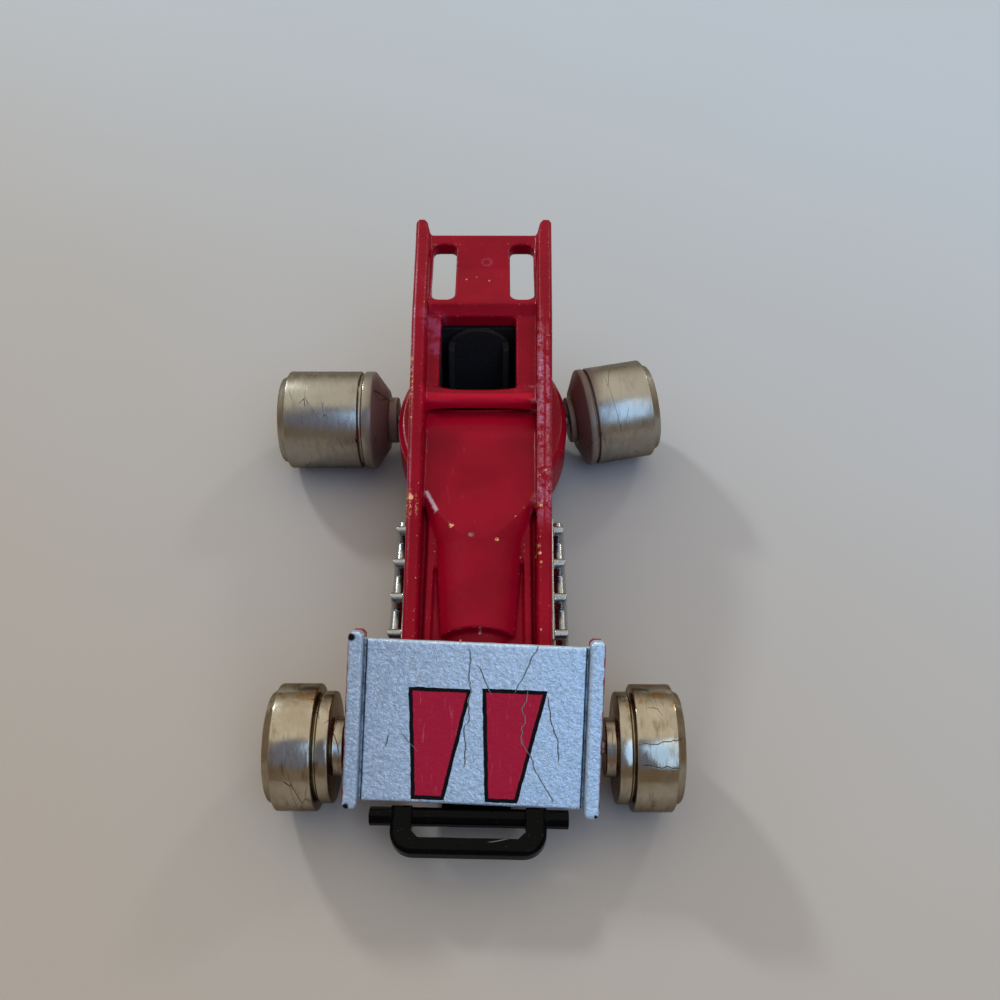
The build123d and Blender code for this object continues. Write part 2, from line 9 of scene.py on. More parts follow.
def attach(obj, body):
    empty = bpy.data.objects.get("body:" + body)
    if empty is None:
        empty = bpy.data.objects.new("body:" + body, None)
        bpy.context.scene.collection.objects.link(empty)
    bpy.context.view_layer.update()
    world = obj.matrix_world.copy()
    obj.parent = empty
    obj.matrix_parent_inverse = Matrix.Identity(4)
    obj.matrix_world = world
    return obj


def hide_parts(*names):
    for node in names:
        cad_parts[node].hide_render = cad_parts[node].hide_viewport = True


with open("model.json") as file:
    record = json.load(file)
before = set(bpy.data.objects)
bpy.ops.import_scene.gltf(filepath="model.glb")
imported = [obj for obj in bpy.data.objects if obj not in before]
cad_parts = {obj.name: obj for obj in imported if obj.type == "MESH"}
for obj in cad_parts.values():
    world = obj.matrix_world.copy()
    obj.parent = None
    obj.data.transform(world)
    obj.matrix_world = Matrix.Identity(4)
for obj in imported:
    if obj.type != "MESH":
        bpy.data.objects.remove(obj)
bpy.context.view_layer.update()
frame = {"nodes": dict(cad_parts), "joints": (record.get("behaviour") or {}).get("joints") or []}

# Lengths in the settings are millimetres, and mm turns them into the scene's metres
mm = 0.001

# Places are measured from the car's middle, below the front axle on the ground, nose along -Y.
# The middle of the front hubs stands a little to the car's right of it.
hubShift = 0.15
jointOf = {joint["name"]: joint for joint in frame["joints"]}
leftHub = Vector(jointOf["front_left_roll"]["pos_m"])
rightHub = Vector(jointOf["front_right_roll"]["pos_m"])
carMiddle = Vector(((leftHub.x + rightHub.x) / 2 + hubShift * mm, leftHub.y, 0))


# Small helpers for objects

def pickOnly(piece):
    bpy.ops.object.select_all(action="DESELECT")
    piece.select_set(True)
    bpy.context.view_layer.objects.active = piece


def applyModifier(piece, kind, **values):
    modifier = piece.modifiers.new(kind.title(), kind)
    for key, value in values.items():
        setattr(modifier, key, value)
    pickOnly(piece)
    bpy.ops.object.modifier_apply(modifier=modifier.name)


def cleanMesh(piece, mergeDistance=0.004):
    pickOnly(piece)
    bpy.ops.object.mode_set(mode="EDIT")
    bpy.ops.mesh.select_all(action="SELECT")
    bpy.ops.mesh.remove_doubles(threshold=mergeDistance * mm)
    bpy.ops.mesh.normals_make_consistent(inside=False)
    bpy.ops.object.mode_set(mode="OBJECT")


def shadeSmooth(piece, degrees=None):
    pickOnly(piece)
    if degrees is None:
        bpy.ops.object.shade_smooth()
    else:
        bpy.ops.object.shade_smooth_by_angle(angle=math.radians(degrees))


def finishPiece(piece, material, slot, body, *nodes):
    piece.data.materials.clear()
    piece.data.materials.append(material)
    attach(piece, body)
    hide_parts(*nodes)


def copyNode(nodeName, pieceName):
    piece = bpy.data.objects.new(pieceName, frame["nodes"][nodeName].data.copy())
    bpy.context.scene.collection.objects.link(piece)
    cleanMesh(piece)
    return piece


def mouldedCopy(nodeName, pieceName, settings):
    # The node's shape again with the soft edges of a casting: remeshed, smoothed and thinned out
    piece = copyNode(nodeName, pieceName)
    applyModifier(piece, "REMESH", mode="VOXEL", voxel_size=settings["voxel"] * mm)
    applyModifier(piece, "SMOOTH", factor=0.5, iterations=settings["smoothing"])
    applyModifier(piece, "DECIMATE", ratio=settings["keepShare"])
    shadeSmooth(piece)
    print(pieceName, "has", len(piece.data.polygons), "faces")
    return piece


bevelSettings = {"segments": 3, "smoothAngle": 35}


def bevelledCopy(nodeName, pieceName, width):
    # The node's shape again with its edges rounded
    piece = copyNode(nodeName, pieceName)
    segments = bevelSettings["segments"]
    applyModifier(piece, "BEVEL", width=width * mm, segments=segments, limit_method="ANGLE")
    shadeSmooth(piece, bevelSettings["smoothAngle"])
    return piece


def softenBox(piece, settings):
    # Smooths the surface inside a box, and less of it towards the box's sides
    low, high = settings["softBox"]
    group = piece.vertex_groups.new(name="softened")
    for vertex in piece.data.vertices:
        place = (vertex.co - carMiddle) / mm
        inside = min(min(place[axis] - low[axis], high[axis] - place[axis]) for axis in range(3))
        if inside > 0:
            group.add([vertex.index], min(1.0, inside / settings["softBorder"]), "REPLACE")
    rounds = settings["softRounds"]
    applyModifier(piece, "SMOOTH", factor=0.5, iterations=rounds, vertex_group="softened")
    piece.vertex_groups.clear()


def roughen(piece, settings):
    texture = bpy.data.textures.new(piece.name + "Clouds", "CLOUDS")
    texture.noise_scale = settings["unevenScale"] * mm
    strength = settings["unevenness"] * mm
    applyModifier(piece, "DISPLACE", texture=texture, strength=strength, texture_coords="LOCAL")


edgeSettings = {"sharpDot": 0.8, "step": 0.12, "neighbours": 24, "hollowGain": 3}


def outerEdgeSpots(mesh):
    # Points along the mesh's sharp edges that stick out
    normals = [face.normal.copy() for face in mesh.polygons]
    centres = [face.center.copy() for face in mesh.polygons]
    facesOf = {}
    for face in mesh.polygons:
        for key in face.edge_keys:
            facesOf.setdefault(key, []).append(face.index)
    spots = []
    for (start, end), faces in facesOf.items():
        if len(faces) != 2:
            continue
        one, two = faces
        isFlat = normals[one].dot(normals[two]) > edgeSettings["sharpDot"]
        isInner = (centres[two] - centres[one]).dot(normals[one]) > 0
        if isFlat or isInner:
            continue
        a = mesh.vertices[start].co
        b = mesh.vertices[end].co
        steps = max(1, math.ceil((b - a).length / (edgeSettings["step"] * mm)))
        spots += [a.lerp(b, number / steps) for number in range(steps + 1)]
    return spots


def searchTree(spots):
    tree = KDTree(len(spots))
    for number, spot in enumerate(spots):
        tree.insert(spot, number)
    tree.balance()
    return tree


def markEdges(piece, nodeName, reach):
    # Stores how near each point lies to an outer edge of the node: 1 on the edge, 0 past reach
    probe = copyNode(nodeName, "edgeProbe")
    tree = searchTree(outerEdgeSpots(probe.data))
    layer = piece.data.attributes.new("edgeNear", "FLOAT", "POINT")
    for vertex in piece.data.vertices:
        distance = tree.find(vertex.co)[2]
        layer.data[vertex.index].value = max(0.0, 1.0 - distance / (reach * mm))
    bpy.data.objects.remove(probe)


def markHollows(piece):
    # Stores how hollow the surface is about each point: 0 where flat or rounded outwards
    vertices = piece.data.vertices
    layer = piece.data.attributes.new("hollowNear", "FLOAT", "POINT")
    tree = searchTree([vertex.co for vertex in vertices])
    share = edgeSettings["hollowGain"] / edgeSettings["neighbours"]
    for vertex in vertices:
        depth = 0.0
        for spot, number, distance in tree.find_n(vertex.co, edgeSettings["neighbours"]):
            if distance > 0:
                depth += (spot - vertex.co).dot(vertex.normal) / distance
        layer.data[vertex.index].value = min(1.0, max(0.0, depth * share))


# Small helpers for materials. A mask is 1 where something shows and 0 where it doesn't.

class NodeDesk:
    def __init__(self, owner):
        owner.use_nodes = True
        self.owner = owner
        self.tree = owner.node_tree

    def join(self, value, socket):
        if isinstance(value, bpy.types.NodeSocket):
            self.tree.links.new(value, socket)
        else:
            socket.default_value = value

    def math(self, operation, first, second=0.0, third=0.0):
        node = self.tree.nodes.new("ShaderNodeMath")
        node.operation = operation
        for value, socket in zip((first, second, third), node.inputs):
            self.join(value, socket)
        return node.outputs[0]

    def step(self, value, low, high, start=0.0, end=1.0):
        # A smooth step from start to end while value goes from low to high
        node = self.tree.nodes.new("ShaderNodeMapRange")
        node.interpolation_type = "SMOOTHSTEP"
        for number, item in enumerate((value, low, high, start, end)):
            self.join(item, node.inputs[number])
        return node.outputs[0]

    def band(self, value, low, high, soft):
        # 1 between low and high, 0 outside, with soft borders
        rise = self.step(value, low - soft, low + soft)
        return self.math("MULTIPLY", rise, self.step(value, high - soft, high + soft, 1.0, 0.0))

    def both(self, *masks):
        # Masks multiplied together
        result = masks[0]
        for mask in masks[1:]:
            result = self.math("MULTIPLY", result, mask)
        return result

    def either(self, *masks):
        # The strongest of the masks
        result = masks[0]
        for mask in masks[1:]:
            result = self.math("MAXIMUM", result, mask)
        return result

    def mix(self, factor, first, second):
        node = self.tree.nodes.new("ShaderNodeMix")
        node.data_type = "RGBA"
        self.join(factor, node.inputs[0])
        self.join(first, node.inputs[6])
        self.join(second, node.inputs[7])
        return node.outputs[2]

    def paint(self, under, over, *masks):
        # One colour laid over another where all the masks hold
        return self.mix(self.both(*masks), under, over)

    def noise(self, vector, scale, detail=2.0, roughness=0.5):
        node = self.tree.nodes.new("ShaderNodeTexNoise")
        self.join(vector, node.inputs["Vector"])
        node.inputs["Scale"].default_value = scale
        node.inputs["Detail"].default_value = detail
        node.inputs["Roughness"].default_value = roughness
        return node.outputs["Fac"]

    def wander(self, value, scale, detail):
        # Noise along one length
        node = self.tree.nodes.new("ShaderNodeTexNoise")
        node.noise_dimensions = "1D"
        self.join(value, node.inputs["W"])
        node.inputs["Scale"].default_value = scale
        node.inputs["Detail"].default_value = detail
        return node.outputs["Fac"]

    def cracks(self, vector, scale, width):
        # Thin lines along the borders of a cell pattern
        node = self.tree.nodes.new("ShaderNodeTexVoronoi")
        node.feature = "DISTANCE_TO_EDGE"
        self.join(vector, node.inputs["Vector"])
        node.inputs["Scale"].default_value = scale
        return self.step(node.outputs["Distance"], 0.0, width, 1.0, 0.0)

    def place(self, centre, turn=(0, 0, 0), stretch=(1, 1, 1)):
        # Object coordinates in millimetres, about a centre and turned with a face
        coordinates = self.tree.nodes.new("ShaderNodeTexCoord")
        mapping = self.tree.nodes.new("ShaderNodeMapping")
        mapping.vector_type = "TEXTURE"
        mapping.inputs["Location"].default_value = centre
        mapping.inputs["Rotation"].default_value = turn
        mapping.inputs["Scale"].default_value = [mm * share for share in stretch]
        self.tree.links.new(coordinates.outputs["Object"], mapping.inputs["Vector"])
        return mapping.outputs[0]

    def split(self, vector):
        node = self.tree.nodes.new("ShaderNodeSeparateXYZ")
        self.tree.links.new(vector, node.inputs[0])
        return node.outputs

    def along(self, vector, way):
        # How far a vector points one way
        node = self.tree.nodes.new("ShaderNodeVectorMath")
        node.operation = "DOT_PRODUCT"
        self.tree.links.new(vector, node.inputs[0])
        node.inputs[1].default_value = way
        return node.outputs["Value"]

    def spot(self, x, y, row):
        # A rough disc, from a row of (x, y, reach)
        across = self.math("SUBTRACT", x, row[0])
        along = self.math("SUBTRACT", y, row[1])
        squares = self.math("MULTIPLY_ADD", across, across, self.math("MULTIPLY", along, along))
        return self.step(self.math("SQRT", squares), row[2] / 2, row[2], 1.0, 0.0)

    def spots(self, x, y, rows):
        return self.either(*[self.spot(x, y, row) for row in rows])

    def shape(self, x, y, corners):
        # Distance inside a four-sided outline given anticlockwise, negative outside it
        sides = []
        for (x0, y0), (x1, y1) in zip(corners, corners[1:] + corners[:1]):
            length = math.hypot(x1 - x0, y1 - y0)
            nx = (y0 - y1) / length
            ny = (x1 - x0) / length
            reach = self.math("MULTIPLY_ADD", x, nx, self.math("MULTIPLY", y, ny))
            sides.append(self.math("SUBTRACT", reach, x0 * nx + y0 * ny))
        inside = sides[0]
        for side in sides[1:]:
            inside = self.math("MINIMUM", inside, side)
        return inside

    def wavyLines(self, x, y, rows, width):
        # Cracks that wander along y: rows of (x at y 0, lean, low y, high y, wander)
        lines = []
        for number, (start, lean, low, high, wander) in enumerate(rows):
            shift = self.wander(
                self.math("ADD", y, crackSettings["apart"] * number),
                crackSettings["waveScale"],
                crackSettings["waveDetail"],
            )
            centre = self.math("MULTIPLY_ADD", y, lean, start - wander / 2)
            centre = self.math("MULTIPLY_ADD", shift, wander, centre)
            gap = self.math("ABSOLUTE", self.math("SUBTRACT", x, centre))
            line = self.step(gap, 0.0, width, 1.0, 0.0)
            lines.append(self.both(line, self.band(y, low, high, crackSettings["taper"])))
        return self.either(*lines)

    def attribute(self, name):
        node = self.tree.nodes.new("ShaderNodeAttribute")
        node.attribute_name = name
        return node.outputs["Fac"]

    def bump(self, height, distance, strength):
        node = self.tree.nodes.new("ShaderNodeBump")
        self.join(height, node.inputs["Height"])
        node.inputs["Distance"].default_value = distance * mm
        node.inputs["Strength"].default_value = strength
        return node.outputs[0]

    def finish(self, **values):
        shader = self.tree.nodes["Principled BSDF"]
        for key, value in values.items():
            self.join(value, shader.inputs[key.replace("_", " ")])
        return self.owner


crackSettings = {"apart": 17.0, "waveScale": 0.55, "waveDetail": 3.0, "taper": 0.3}


def materialDesk(name):
    return NodeDesk(bpy.data.materials.new(name))


# Camera, floor and light

cameraSettings = {
    "place": (2.174, -40.132, 87.291),
    "elevation": 50.0,
    "yaw": 0.185,
    "lens": 36.0,
    "sensor": 36.0,
    "nearest": 1.0,
    "farthest": 4000.0,
}


def makeCamera():
    data = bpy.data.cameras.new("photoCamera")
    data.lens = cameraSettings["lens"]
    data.sensor_width = cameraSettings["sensor"]
    data.clip_start = cameraSettings["nearest"] * mm
    data.clip_end = cameraSettings["farthest"] * mm
    camera = bpy.data.objects.new("photoCamera", data)
    camera.location = carMiddle + Vector(cameraSettings["place"]) * mm
    tilt = math.radians(90 - cameraSettings["elevation"])
    camera.rotation_euler = (tilt, 0, math.radians(cameraSettings["yaw"]))
    bpy.context.scene.collection.objects.link(camera)
    bpy.context.scene.camera = camera
    bpy.context.scene.view_settings.view_transform = "Standard"


# The floor's colour is painted light: it goes from warm near the front to cool far to the right
# along a slanted way, for warm light and the cool window's light; soft clouds shift it a little
floorSettings = {
    "size": 3000.0,
    "cool": (0.530, 0.583, 0.645, 1),
    "warm": (0.452, 0.384, 0.322, 1),
    "slant": 0.6,
    "warmToCool": (-45.0, 205.0),
    "cloudScale": 0.02,
    "cloudShift": 30.0,
    "grainScale": 3.0,
    "grainHeight": 0.05,
}


def makeFloor():
    bpy.ops.mesh.primitive_plane_add(size=floorSettings["size"] * mm, location=(0, 0, 0))
    floor = bpy.context.object
    floor.name = "floor"
    desk = materialDesk("paleFloor")
    place = desk.place(carMiddle)
    x, y = desk.split(place)[:2]
    way = desk.math("MULTIPLY_ADD", x, floorSettings["slant"], y)
    clouds = desk.noise(place, floorSettings["cloudScale"], 2)
    way = desk.math("MULTIPLY_ADD", clouds, floorSettings["cloudShift"], way)
    # Painted light: warm towards the front, cool far to the right
    toCool = desk.step(way, *floorSettings["warmToCool"])
    grain = desk.noise(place, floorSettings["grainScale"], 4, 0.6)
    floor.data.materials.append(desk.finish(
        Base_Color=desk.mix(toCool, floorSettings["warm"], floorSettings["cool"]),
        Roughness=0.75,
        Specular_IOR_Level=0.2,
        Normal=desk.bump(grain, floorSettings["grainHeight"], 0.3),
    ))


# Rows of (name, place, looks at, size across and along, strength, colour)
lampRows = [
    ("backWindow", (-637, 822, 618), (0, 20, 5), (110, 110), 4.4, (0.86, 0.95, 1.0)),
    ("farWindow", (617, 822, 618), (0, 20, 5), (130, 130), 1.5, (0.90, 0.95, 1.0)),
    ("frontWindow", (140, -218, 298), (0, 0, 5), (240, 310), 0.50, (0.33, 0.60, 1.0)),
]


def makeLamps():
    for name, place, aim, size, strength, colour in lampRows:
        data = bpy.data.lights.new(name, "AREA")
        data.shape = "RECTANGLE"
        data.size = size[0] * mm
        data.size_y = size[1] * mm
        data.energy = strength
        data.color = colour
        lamp = bpy.data.objects.new(name, data)
        lamp.location = carMiddle + Vector(place) * mm
        way = carMiddle + Vector(aim) * mm - lamp.location
        lamp.rotation_euler = way.to_track_quat("-Z", "Y").to_euler()
        bpy.context.scene.collection.objects.link(lamp)


# The pale ceiling is brightest a little past overhead, over darker walls. Whoever holds the
# camera darkens the part of the room behind it.
roomSettings = {
    "ceiling": (0.98, 0.94, 0.82, 1),
    "wall": (0.26, 0.21, 0.155, 1),
    "pastOverhead": 0.25,
    "wallToCeiling": (0.25, 1.0),
    "onlooker": (0.23, 0.25, 0.36, 1),
    "onlookerWay": (-0.10, -0.62, 0.77),
    "onlookerBorder": (0.86, 0.93),
}


def makeRoom():
    world = bpy.data.worlds.new("room")
    desk = NodeDesk(world)
    ways = desk.tree.nodes.new("ShaderNodeTexCoord").outputs["Generated"]
    y, z = desk.split(ways)[1:3]
    rise = desk.math("MULTIPLY_ADD", y, roomSettings["pastOverhead"], z)
    toCeiling = desk.step(rise, *roomSettings["wallToCeiling"])
    colour = desk.mix(toCeiling, roomSettings["wall"], roomSettings["ceiling"])
    facing = desk.along(ways, roomSettings["onlookerWay"])
    shaded = desk.step(facing, *roomSettings["onlookerBorder"])
    colour = desk.paint(colour, roomSettings["onlooker"], shaded)
    desk.join(colour, desk.tree.nodes["Background"].inputs["Color"])
    bpy.context.scene.world = world


# Red body

bodySettings = {
    "voxel": 0.14,
    "smoothing": 5,
    "keepShare": 0.34,
    "softBox": ((-5.7, 30.0, 9.0), (5.0, 35.6, 16.6)),
    "softBorder": 0.6,
    "softRounds": 160,
    "edgeReach": 0.45,
}

# Colours first, then where things show, as steps (from, to) and bands (low, high, softness), and
# then how fine each pattern is. The car's right rail is the one at negative x.
enamelSettings = {
    "red": (0.310, 0.0020, 0.0155, 1),
    "darkRed": (0.250, 0.0015, 0.0120, 1),
    "hollowShadeRed": (0.150, 0.0010, 0.0060, 1),
    "paintedLightRed": (0.640, 0.0060, 0.0340, 1),
    "wearAndSheenPink": (0.520, 0.170, 0.190, 1),
    "bareMetalAndGlint": (0.74, 0.42, 0.22, 1),
    "streakHighlight": (0.70, 0.52, 0.62, 1),
    "lilac": (0.62, 0.34, 0.50, 1),
    "bruise": (0.360, 0.050, 0.130, 1),
    "chipGrey": (0.22, 0.20, 0.19, 1),
    "hoodHeight": (11.5, 12.5),
    "railHeight": (10.2, 11.2),
    "streakHeight": (13.0, 13.3),
    # Painted light below the cross bar: where it rises, where it ends and how far it spans across
    "paintedLightRise": (29.0, 33.4),
    "paintedLightEnd": (34.1, 33.8),
    "paintedLightSpan": (-6.0, 5.3, 0.5),
    "rightRailEdge": (-6.0, -6.9),
    "rubbedAndSheenSpan": (12.0, 52.0, 4.0),
    "bareSpans": [(19.5, 22.0, 0.8), (32.5, 41.0, 2.5)],
    "bareDepth": (0.65, 0.35),
    "rightRailStart": 5.05,
    "rightRailSlope": 0.069,
    "leftRailBevel": (5.0, 6.9, 0.25),
    "bevelSpan": (20.0, 42.0, 3.0),
    "cloudScale": 0.22,
    "fleckScale": 3.1,
    "fineScale": 7.0,
    "patchScale": 1.3,
    "peelScale": 1.2,
    "glossScale": 2.5,
    "roughness": (0.24, 0.36),
    "scratchScale": 1.6,
    "scratchTurn": (0, 0, 0.12),
    "scratchStretch": (0.35, 7.0, 1.0),
    "liftHeight": 0.03,
}

# Rows of (x, y, reach): bright chips in the red, several of them painted glints on the scoop's edge,
# the nose and the tank; one worn down to grey, the purple bruise beside the cockpit, and the round
# mark on the tank
chipAndGlintRows = [
    (-2.6, 18.5, 0.30), (1.7, 16.9, 0.22), (5.5, 16.4, 0.24), (5.9, 20.4, 0.20), (6.4, 24.1, 0.16),
    (0.25, 7.9, 0.16), (-1.5, 7.4, 0.12), (-6.5, 21.2, 0.34), (-1.8, 49.4, 0.13),
    (-0.7, 49.8, 0.11), (0.7, 49.2, 0.14), (5.7, 15.6, 0.22), (5.8, 14.6, 0.16),
    (-7.1, 37.0, 0.20), (-6.9, 30.0, 0.14),
]
greyChip = (-0.7, 17.3, 0.34)
bruiseRows = [(-4.9, 42.8, 2.1), (-4.5, 40.0, 1.5)]
tankMark = (0.4, 52.3, 0.75)
tankMarkHole = (0.4, 52.3, 0.60)
# Corners of the long pale streak, a painted highlight, where the scoop begins
streakShape = [(-5.42, 22.9), (-4.24, 20.2), (-3.84, 20.45), (-5.02, 23.1)]


def wearAndSheenRails(desk, place, fine, flecks, patches):
    # Masks of the paint rubbed pale along the rails, which also holds a painted sheen on their
    # rounded edges, and of the bare metal in their edges, whose flecks are partly painted glints
    look = enamelSettings
    x, y, z = desk.split(place)
    edge = desk.attribute("edgeNear")
    onEdge = desk.step(edge, 0.60, 0.95)
    onRails = desk.step(z, *look["railHeight"])
    rubbedAndSheen = desk.both(desk.step(x, *look["rightRailEdge"]), onEdge)
    rubbedAndSheen = desk.both(rubbedAndSheen, desk.band(y, *look["rubbedAndSheenSpan"]), desk.step(fine, 0.30, 0.60), 0.8)
    bevel = desk.both(desk.band(x, *look["leftRailBevel"]), desk.band(y, *look["bevelSpan"]))
    bevel = desk.both(bevel, desk.step(edge, 0.05, 0.50), onRails)
    bevel = desk.both(bevel, desk.step(fine, 0.38, 0.58), desk.step(patches, 0.35, 0.55))
    # How far inside the right rail's outer edge, which runs outwards to the tail
    inwards = desk.math("ADD", x, look["rightRailStart"])
    inwards = desk.math("MULTIPLY_ADD", y, look["rightRailSlope"], inwards)
    bare = desk.either(*[desk.band(y, *span) for span in look["bareSpans"]])
    bare = desk.both(bare, desk.step(inwards, *look["bareDepth"]), desk.step(edge, 0.30, 0.70))
    bare = desk.both(bare, onRails, desk.step(flecks, 0.50, 0.57))
    speckle = desk.both(onEdge, desk.step(flecks, 0.62, 0.68))
    return desk.either(bevel, rubbedAndSheen), desk.either(bare, speckle)


def makeEnamel():
    look = enamelSettings
    desk = materialDesk("redEnamel")
    place = desk.place(carMiddle)
    x, y, z = desk.split(place)
    clouds = desk.noise(place, look["cloudScale"], 3)
    flecks = desk.noise(place, look["fleckScale"], 4, 0.65)
    fine = desk.noise(place, look["fineScale"], 3, 0.6)
    patches = desk.noise(place, look["patchScale"], 3, 0.55)
    colour = desk.mix(desk.step(clouds, 0.3, 0.7), look["darkRed"], look["red"])
    # Painted light: a brighter red below the cross bar in front of the cockpit, lighting the face
    # that lies in shade there
    paintedLight = desk.both(desk.step(y, *look["paintedLightRise"]), desk.step(y, *look["paintedLightEnd"]))
    paintedLight = desk.both(paintedLight, desk.step(z, *look["hoodHeight"]), desk.band(x, *look["paintedLightSpan"]))
    colour = desk.paint(colour, look["paintedLightRed"], paintedLight, 0.6)
    # Painted shade: the red darkens in hollows, where shade falls
    hollow = desk.step(desk.attribute("hollowNear"), 0.2, 1.0)
    colour = desk.paint(colour, look["hollowShadeRed"], hollow, 0.45)
    bruise = desk.both(desk.spots(x, y, bruiseRows), desk.step(patches, 0.38, 0.62))
    colour = desk.paint(colour, look["bruise"], bruise, 0.75)
    # Rubbed rails with a painted sheen along their edges, and chips down to the metal, some of them
    # painted glints
    rubbedAndSheen, bare = wearAndSheenRails(desk, place, fine, flecks, patches)
    wearAndSheen = desk.mix(desk.step(clouds, 0.45, 0.60), look["wearAndSheenPink"], look["lilac"])
    colour = desk.paint(colour, wearAndSheen, rubbedAndSheen, 0.7)
    # Some of these chips are painted glints on the scoop's edge, the nose and the tank
    chipsAndGlints = desk.both(desk.spots(x, y, chipAndGlintRows), desk.step(flecks, 0.40, 0.50))
    bare = desk.either(bare, chipsAndGlints)
    colour = desk.mix(bare, colour, look["bareMetalAndGlint"])
    # The pale streak, a painted highlight on the scoop's edge, with a ragged outline, and the grey
    # chip
    ragged = desk.math("MULTIPLY_ADD", fine, 0.3, -0.15)
    streak = desk.step(desk.math("ADD", desk.shape(x, y, streakShape), ragged), -0.05, 0.18)
    colour = desk.paint(colour, look["streakHighlight"], streak, desk.step(z, *look["streakHeight"]), 0.7)
    grey = desk.both(desk.spot(x, y, greyChip), desk.step(flecks, 0.35, 0.5))
    colour = desk.paint(colour, look["chipGrey"], grey, 0.8)
    # Fine scratches run along the car
    combed = desk.place(carMiddle, look["scratchTurn"], look["scratchStretch"])
    scratch = desk.step(desk.noise(combed, look["scratchScale"], 3, 0.7), 0.66, 0.72)
    scratch = desk.both(scratch, desk.step(clouds, 0.45, 0.6))
    colour = desk.paint(colour, look["wearAndSheenPink"], scratch, 0.22)
    # The round mark stands up, chips and scratches lie deeper, and the paint has a faint peel
    # The round mark's rim is painted pale: a painted highlight on the raised rim
    ring = desk.math("SUBTRACT", desk.spot(x, y, tankMark), desk.spot(x, y, tankMarkHole))
    colour = desk.paint(colour, wearAndSheen, ring, desk.step(fine, 0.35, 0.6), 0.35)
    lift = desk.math("MULTIPLY_ADD", bare, -0.7, desk.noise(place, look["peelScale"], 2))
    lift = desk.math("MULTIPLY_ADD", ring, 2.6, lift)
    lift = desk.math("MULTIPLY_ADD", scratch, -0.25, lift)
    gloss = desk.noise(place, look["glossScale"], 3)
    return desk.finish(
        Base_Color=colour,
        Metallic=desk.math("MULTIPLY", bare, 0.7),
        Roughness=desk.step(gloss, 0.3, 0.7, *look["roughness"]),
        Specular_IOR_Level=0.06,
        Coat_Weight=0.04,
        Coat_Roughness=0.08,
        Normal=desk.bump(lift, look["liftHeight"], 0.55),
    )


def makeBody():
    body = mouldedCopy("body_casting", "bodyShell", bodySettings)
    softenBox(body, bodySettings)
    markEdges(body, "body_casting", bodySettings["edgeReach"])
    markHollows(body)
    finishPiece(body, makeEnamel(), "red_enamel", "car", "body_casting")


# Silver wing

# Places on the wing are measured from the middle of its lower face, across, up the slope and out
wingSettings = {
    "voxel": 0.10,
    "smoothing": 2,
    "keepShare": 0.6,
    "unevenness": 0.05,
    "unevenScale": 1.6,
    "middle": (-0.2, 0.70, 8.77),
    "tilt": 40.0,
    "skew": 2.3,
    "halfSpan": 9.7,
    "halfChord": 6.95,
    "plateWidth": 1.3,
}

silverSettings = {
    "silver": (0.570, 0.720, 0.890, 1),
    "paleSilver": (0.560, 0.750, 0.960, 1),
    "shade": (0.460, 0.560, 0.680, 1),
    "speck": (0.330, 0.420, 0.540, 1),
    "crimson": (0.500, 0.016, 0.052, 1),
    "ink": (0.006, 0.006, 0.008, 1),
    "crack": (0.060, 0.075, 0.095, 1),
    "red": (0.300, 0.012, 0.024, 1),
    "white": (0.72, 0.83, 0.95, 1),
    "scuff": (0.70, 0.22, 0.26, 1),
    "faceRise": (0.55, 0.70),
    "backFrom": (0.25, 0.05),
    # Painted reflection: where the silver turns from shade to silver and from silver to pale
    "shadeToSilver": (-9.0, 3.0),
    "silverToPale": (2.0, 12.0),
    "paleSlant": -0.35,
    "cloudShift": 5.0,
    "outline": 0.34,
    "outlineSoftness": 0.03,
    "crackWidth": 0.065,
    "grooveWidth": (0.34, 0.04, 0.06),
    "glintWidth": (0.12, 0.05),
    "bareSide": (0.17, 0.02),
    "nickRise": (-6.45, -6.75),
    "cloudScale": 0.35,
    "grainScale": 3.8,
    "wobbleScale": 1.1,
    "scuffScale": 1.4,
    "scuffStretch": (0.35, 3.0, 1.0),
    "raggedScale": 0.9,
    "nickScale": 2.4,
    "peelScale": 2.2,
    "roughness": (0.38, 0.54),
    "liftHeight": 0.11,
}

# Corners of the two printed bars
barShapes = [
    [(-5.1, -6.6), (-2.3, -6.6), (-0.3, 3.0), (-5.7, 3.0)],
    [(1.2, -6.6), (4.0, -6.6), (6.2, 3.1), (0.6, 3.1)],
]

# Rows of (across at the middle, lean, low, high, wander)
crackRows = [
    (-0.6, 0.02, -3.6, 6.3, 1.3), (2.1, 0.46, 3.0, 6.9, 0.5), (3.6, -0.52, -6.3, -1.2, 0.7),
    (6.8, -0.25, -2.8, 2.4, 0.7), (-6.6, 0.45, -2.1, -1.3, 0.5), (2.9, -0.55, 2.8, 4.9, 0.4),
    (-7.0, -0.9, -2.3, -1.2, 0.5), (4.2, 0.1, -1.4, 3.0, 1.2),
]

# Black chips at three corners, rows of (across, up, reach)
cornerChips = [(-10.7, 7.1, 0.45), (-10.6, -7.3, 0.35), (10.7, -7.3, 0.22)]


def wingTurn():
    tilt = math.radians(wingSettings["tilt"])
    skew = math.radians(wingSettings["skew"])
    up = Vector((0, math.cos(tilt), math.sin(tilt)))
    out = Vector((0, -math.sin(tilt), math.cos(tilt)))
    across = Vector((1, 0, 0)) * math.cos(skew) - up * math.sin(skew)
    return Matrix((across, out.cross(across), out)).transposed().to_euler()


